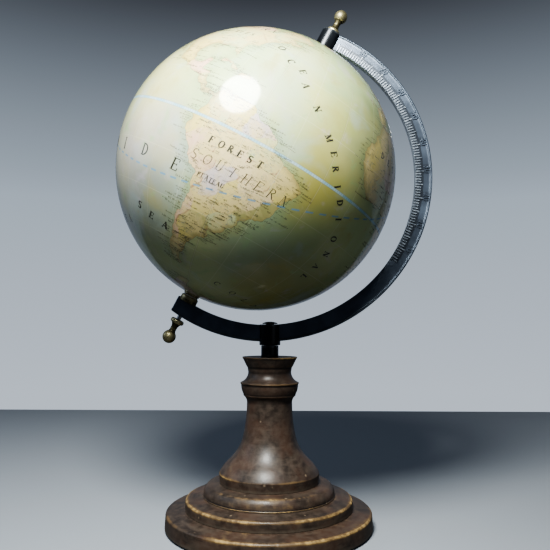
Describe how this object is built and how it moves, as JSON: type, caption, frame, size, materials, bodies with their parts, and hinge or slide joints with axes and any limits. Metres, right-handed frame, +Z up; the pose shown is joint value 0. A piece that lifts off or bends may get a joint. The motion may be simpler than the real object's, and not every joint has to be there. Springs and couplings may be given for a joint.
{
  "type": "desktop globe on stand",
  "caption": "Terrestrial globe that spins on a tilted axle in a graduated semi-circular arm, on a stepped and turned wooden pedestal.",
  "frame": {"origin": "centre of the base's underside", "axes": "+Z up; the arm stands in the XZ plane with its north end leaning towards +X; -Y is the front"},
  "size_m": [0.2257, 0.2, 0.3704],
  "materials": {
    "felt": "napped felt",
    "dark_wood": "dark stain, rubbed through to ochre on the edges, waxed",
    "steel": "bright zinc",
    "black_enamel": "gloss black-blue enamel",
    "brass": "aged",
    "nylon": "natural nylon",
    "shell_board": "pressed board",
    "map_paper": "printed paper under clear gloss varnish"
  },
  "bodies": {
    "stand": {"felt_pad": "felt", "plinth": "dark_wood", "middle_tier": "dark_wood", "upper_tier": "dark_wood", "column": "dark_wood", "tie_rod": "steel", "base_washer": "steel", "base_nut": "steel", "neck_spacer": "black_enamel", "cap_nut": "black_enamel"},
    "arm": {"meridian_arm": "black_enamel", "axle_rod": "steel", "north_finial": "brass", "south_finial": "brass", "south_spacer_bush": "brass", "north_thrust_washer": "nylon", "south_thrust_washer": "nylon"},
    "globe": {"north_shell": "shell_board", "south_shell": "shell_board", "equator_liner": "shell_board", "north_pole_bush": "brass", "south_pole_bush": "brass", "north_map_paper": "map_paper", "south_map_paper": "map_paper"}
  },
  "joints": [
    {"name": "arm_swivel", "type": "hinge", "parent": "stand", "child": "arm", "pos_m": [0, 0, 0.1242], "axis": [0, 0, 1], "continuous": true},
    {"name": "globe_spin", "type": "hinge", "parent": "arm", "child": "globe", "pos_m": [-0.01051, 0, 0.24889], "axis": [0.4695, 0, 0.8829], "continuous": true}
  ]
}
